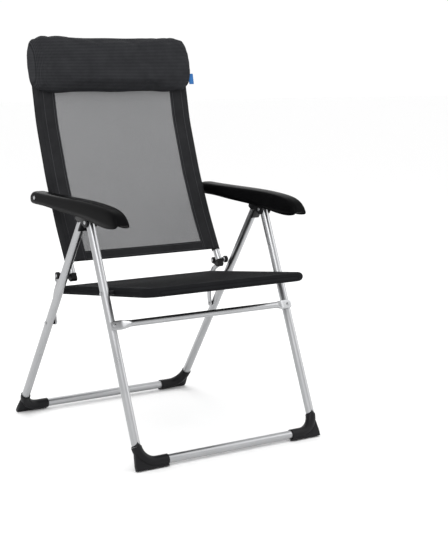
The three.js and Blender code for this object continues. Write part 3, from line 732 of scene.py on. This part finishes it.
makeArmrests(armrest)
for name, slotName in (("armrest_rack", "black"), ("back_knuckle", "black"), ("seat_rail_cap", "black"),
                       ("crossbar_screw", "steel"), ("catch_pin", "steel")):
    for side, label in sides:
        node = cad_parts[f"{name}_{label}"]
        node.data.materials.clear()
        node.data.materials.append(finish[slotName])
print("armrests made")

# seat sling

seatSling = {"sag": 5.0, "thick": 1.4, "edge": 236.0}


def makeSeat(k):
    # top sheet: z = rail line + sleeve radius - sag (1 - u^2)(1 - v^2), u across and v along
    u = np.linspace(-1, 1, 61)
    y0, y1 = chair["seatFront"] - 4, chair["slingRear"]
    y = np.linspace(y0, y1, 61)
    v = (y - (y0 + y1) / 2) / ((y1 - y0) / 2)
    across, along = np.meshgrid(u, v)
    half = railX - chair["seatCorner"] * 0.55 * eased(-y, -chair["seatFront"] - 26, -chair["seatFront"] + 4)
    wide = across * half[:, None]
    deep = np.broadcast_to(y[:, None], wide.shape)
    slackness = (1 - across ** 2) * (1 - np.clip(along, -1, 1) ** 6)
    high = np.vectorize(seatZ)(deep) + chair["sleeveR"] - k["sag"] * slackness
    high = high - 5 * eased(-deep, -chair["seatFront"] - 4, -chair["seatFront"] + 4)
    points = np.stack([wide, deep, high], -1).reshape(-1, 3)
    sheet = facingOut(addMesh("seatSheet", points, gridFaces(61, 61, False), finish["seat"]))
    if sheet.data.polygons[1800].normal[2] < 0:
        sheet.data.flip_normals()
    thick = sheet.modifiers.new("cloth", "SOLIDIFY")
    thick.thickness, thick.offset = k["thick"] * mm, -1
    sleeve = tubeObject("seatSleeve", seatPath(chair["slingRear"]), chair["sleeveR"], seatUp,
                        finish["seat"], 40, wall=1.6)
    seams = []
    for side in (1, -1):
        for inset in (0, 6):
            ys = np.linspace(chair["seatFront"] + 16, chair["slingRear"] - 2, 60)
            xs = np.full_like(ys, side * (k["edge"] - inset))
            sag = k["sag"] * (1 - (xs / railX) ** 2) * 0.97
            zs = np.vectorize(seatZ)(ys) + chair["sleeveR"] + 0.25 - sag
            path = np.column_stack([xs, ys, zs])
            seams.append(tubeObject("seam", path, 0.55, seatUp, finish["thread"], 6))
    seam = joined("seatSeams", seams)
    use(sheet, "seat", "seat_fabric", "seat_sling")
    use(sleeve, "seat", "seat_fabric", "seat_sling")
    use(seam, "seat", "seat_fabric")


makeSeat(seatSling)

# back sling

backSling = {"bandEdge": 197.0, "hem": 26.0, "hollow": 10.0, "thick": 1.4, "top": 1050.0}


def backSurface(wide, z, k, lift=0.0):
    # in front of the rails by the sleeve radius, drawn back a little in the middle
    lean = backLean(z)
    drawn = k["hollow"] * (1 - (wide / railX) ** 2) * np.clip((z - chair["backSling"]) / 120, 0, 1) ** 0.5
    out = chair["sleeveR"] - drawn + lift
    return np.stack([wide, backY(z) - out * np.cos(lean), z + out * np.sin(lean)], -1)


def backSheet(name, x0, x1, z0, z1, material, k, lift=0.0, across=24, rows=70):
    wide, high = np.meshgrid(np.linspace(x0, x1, across), np.linspace(z0, z1, rows))
    points = backSurface(wide, high, k, lift).reshape(-1, 3)
    piece = facingOut(addMesh(name, points, gridFaces(rows, across, False), material))
    if piece.data.polygons[len(piece.data.polygons) // 2].normal[1] > 0:
        piece.data.flip_normals()
    thick = piece.modifiers.new("cloth", "SOLIDIFY")
    thick.thickness, thick.offset = k["thick"] * mm, -1
    return piece


def makeBack(k):
    z0, z1, e = chair["backSling"], k["top"], k["bandEdge"]
    panel = backSheet("backMesh", -e - 3, e + 3, z0 + 4, z1, finish["mesh"], k, 0, 60)
    bandRight = backSheet("backBand_right", e, railX, z0, z1, finish["band"], k, 0.8)
    bandLeft = backSheet("backBand_left", -railX, -e, z0, z1, finish["band"], k, 0.8)
    hem = backSheet("backHem", -e - 4, e + 4, z0, z0 + k["hem"], finish["band"], k, 0.9, 60, 10)
    zs = np.linspace(z0, z1, 50)
    sleeves = []
    for side in (1, -1):
        path = np.column_stack([np.full_like(zs, side * railX), backY(zs), zs])
        sleeves.append(tubeObject("sleeve", path, chair["sleeveR"], backNormal, finish["band"],
                                  36, wall=1.6))
    sleeve = joined("backSleeves", sleeves)
    seams = []
    for side in (1, -1):
        for at in (e + 2, e + 8, railX - 14):
            p = backSurface(np.full_like(zs, side * at), zs, k, 1.1)
            seams.append(tubeObject("seam", p, 0.55, backNormal, finish["thread"], 6))
    for up in (4, k["hem"] - 4):
        xs = np.linspace(-e, e, 40)
        p = backSurface(xs, np.full_like(xs, z0 + up), k, 1.2)
        seams.append(tubeObject("seam", p, 0.55, (0, 0, 1), finish["thread"], 6))
    seam = joined("backSeams", seams)
    for piece in (panel, bandRight, bandLeft, hem, sleeve):
        use(piece, "backrest", "back_mesh", "backrest_sling")
    use(seam, "backrest", "back_mesh")
    run = float(np.sum(np.hypot(np.diff(zs), np.diff(backY(zs)))))


makeBack(backSling)
print("slings made")

# headrest

headrest = {
    "halfWidth": 264.0, "low": 954.0, "high": 1138.0, "front": 58.0, "rear": 38.0,
    "voxel": 0.006, "pressure": 4.0, "cap": 0.010,
}


def pillowShape(k):
    # superellipsoid: x = w C(phi), section (height, depth) = S(phi) (H C(t), D S(t)), leaned with the back
    phi = np.linspace(0, math.pi, 90)
    t = np.linspace(0, 2 * math.pi, 72, endpoint=False)

    def power(v, q):
        return np.sign(v) * np.abs(v) ** q

    xs = k["halfWidth"] * power(np.cos(phi), 0.42)
    grow = power(np.sin(phi), 0.30)
    tall, thick = (k["high"] - k["low"]) / 2, (k["front"] + k["rear"]) / 2
    lean = float(backLean(1040))
    midZ = (k["high"] + k["low"]) / 2 + 4
    h = tall * power(np.cos(t), 0.72)
    d = thick * power(np.sin(t), 0.80)
    pinch = 1 - 0.36 * np.clip(h / tall, 0, 1)[None] ** 2 * (np.abs(xs[:, None]) / k["halfWidth"]) ** 6
    up = grow[:, None] * h[None] * (1 + 0.03 * (np.abs(xs[:, None]) / k["halfWidth"]) ** 4)
    out = grow[:, None] * d[None] * pinch + (k["front"] - k["rear"]) / 2
    sag = 4 * np.clip(h / tall, 0, 1)[None] * (1 - (xs[:, None] / k["halfWidth"]) ** 2)
    up = up - sag   # the top edge dips in the middle
    y = float(backY(midZ)) + up * math.sin(lean) - out * math.cos(lean)
    z = midZ + up * math.cos(lean) + out * math.sin(lean)
    wide = np.broadcast_to(xs[:, None], y.shape)
    return np.stack([wide, y, z], -1), gridFaces(len(phi), len(t), True)


def makePillow(k):
    grid, faces = pillowShape(k)
    n = grid.shape[1]
    faces += [list(range(n))[::-1], list(range((len(grid) - 1) * n, len(grid) * n))]
    pad = facingOut(addMesh("headrestPad", grid.reshape(-1, 3), faces, finish["pillow"]))
    bpy.context.view_layer.objects.active = pad
    remesh = pad.modifiers.new("even", "REMESH")
    remesh.mode, remesh.voxel_size = "VOXEL", k["voxel"]
    applyModifier(pad, "even")
    inflate(pad, k)
    pucker(pad, k)
    pad.data.polygons.foreach_set("use_smooth", np.full(len(pad.data.polygons), True))
    smooth = pad.modifiers.new("finer", "SUBSURF")
    smooth.levels = smooth.render_levels = 1
    use(pad, "backrest", "pillow_fabric", "headrest")
    return pad


def applyModifier(obj, name):
    bpy.ops.object.select_all(action="DESELECT")
    obj.select_set(True)
    bpy.context.view_layer.objects.active = obj
    bpy.ops.object.modifier_apply(modifier=name)


def readPoints(mesh):
    co = np.empty(len(mesh.vertices) * 3)
    mesh.vertices.foreach_get("co", co)
    return co.reshape(-1, 3)


def inflate(pad, k):
    # cloth under inner pressure, held along its two end seams; no point moves further than the cap
    before = readPoints(pad.data)
    group = pad.vertex_groups.new(name="held")
    held = np.where(np.abs(before[:, 0]) > 0.955 * k["halfWidth"] * mm)[0]
    group.add(held.tolist(), 1.0, "REPLACE")
    cloth = pad.modifiers.new("cloth", "CLOTH")
    s = cloth.settings
    s.quality, s.mass, s.use_pressure, s.uniform_pressure_force = 5, 0.3, True, k["pressure"]
    s.tension_stiffness = s.compression_stiffness = 12
    s.bending_stiffness = 0.4
    s.vertex_group_mass = "held"
    s.effector_weights.gravity = 0
    s.shrink_min = -0.02
    scene = bpy.context.scene
    for f in range(1, 21):
        scene.frame_set(f)
    shaped = pad.evaluated_get(bpy.context.evaluated_depsgraph_get()).to_mesh()
    after = readPoints(shaped)
    move = after - before
    size = np.linalg.norm(move, axis=1, keepdims=True)
    move *= np.minimum(1, k["cap"] / np.maximum(size, 1e-9))
    pad.modifiers.remove(cloth)
    pad.data.vertices.foreach_set("co", (before + move).ravel())
    pad.data.update()
    scene.frame_set(1)


def pucker(pad, k):
    # shallow folds that fan out from the gathered end seams and fade towards the middle
    p = readPoints(pad.data)
    w = k["halfWidth"] * mm
    near = np.clip((np.abs(p[:, 0]) / w - 0.55) / 0.45, 0, 1)
    middleZ = 0.5 * (k["low"] + k["high"]) * mm
    angle = np.arctan2(p[:, 2] - middleZ - 0.02, (w * 1.05 - np.abs(p[:, 0])))
    folds = np.sin(angle * 17 + np.sign(p[:, 0])) * near ** 2 * (1 - near ** 6)
    soft = np.sin(p[:, 0] * 31 + 1.3) * np.sin(p[:, 2] * 47 + p[:, 0] * 9) * (1 - near)
    normals = np.empty(len(p) * 3)
    pad.data.vertices.foreach_get("normal", normals)
    p += normals.reshape(-1, 3) * (0.0030 * folds + 0.0012 * soft)[:, None]
    pad.data.vertices.foreach_set("co", p.ravel())
    pad.data.update()


makePillow(headrest)

# a plain woven tag sewn to the headrest's end
tag = {"x": 256.0, "z": (992.0, 1024.0), "wide": 19.0}


def makeTag(k):
    zs = np.linspace(*k["z"], 8)
    xs = np.linspace(k["x"], k["x"] + k["wide"], 5)
    wide, high = np.meshgrid(xs, zs)
    deep = backY(high) - 36 + 0.012 * (wide - k["x"]) ** 2
    points = np.stack([wide, deep, high], -1).reshape(-1, 3)
    piece = facingOut(addMesh("headrestTag", points, gridFaces(8, 5, False), finish["tag"]))
    thick = piece.modifiers.new("cloth", "SOLIDIFY")
    thick.thickness = 0.0012
    use(piece, "backrest", "pillow_fabric")


makeTag(tag)
print("headrest made")

# floor, light

studio = {
    "floor": 30.0, "shade": (0.97, 0.97, 0.97), "world": 1.02,   # metres, colour, strength
    "lights": [   # name, place, power, size
        ("keyLight", (-2.2, -2.4, 3.4), 60, 2.4),
        ("fillLight", (3.0, -1.6, 2.2), 30, 2.6),
        ("backLight", (0.6, 3.0, 3.0), 34, 2.2),
    ],
}


def makeStudio(k):
    size = k["floor"] / mm
    corners = [(i * size, j * size, -0.5) for i, j in ((-1, -1), (1, -1), (1, 1), (-1, 1))]
    pale = Finish("paleFloor", Base_Color=(*k["shade"], 1), Roughness=0.9).mat
    floor = addMesh("floor", corners, [(0, 1, 2, 3)], pale, False)
    world = bpy.data.worlds.new("studioWorld")
    world.use_nodes = True
    world.node_tree.nodes["Background"].inputs[0].default_value = (1, 1, 1, 1)
    world.node_tree.nodes["Background"].inputs[1].default_value = k["world"]
    bpy.context.scene.world = world
    for name, place, power, size in k["lights"]:
        data = bpy.data.lights.new(name, "AREA")
        data.energy, data.size = power, size
        lamp = bpy.data.objects.new(name, data)
        lamp.location = place
        lamp.rotation_euler = (Vector(place) - Vector((0, 0, 0.55))).to_track_quat("Z", "Y").to_euler()
        bpy.context.collection.objects.link(lamp)


makeStudio(studio)
bpy.context.scene.view_settings.view_transform = "Standard"

bpy.context.view_layer.update()
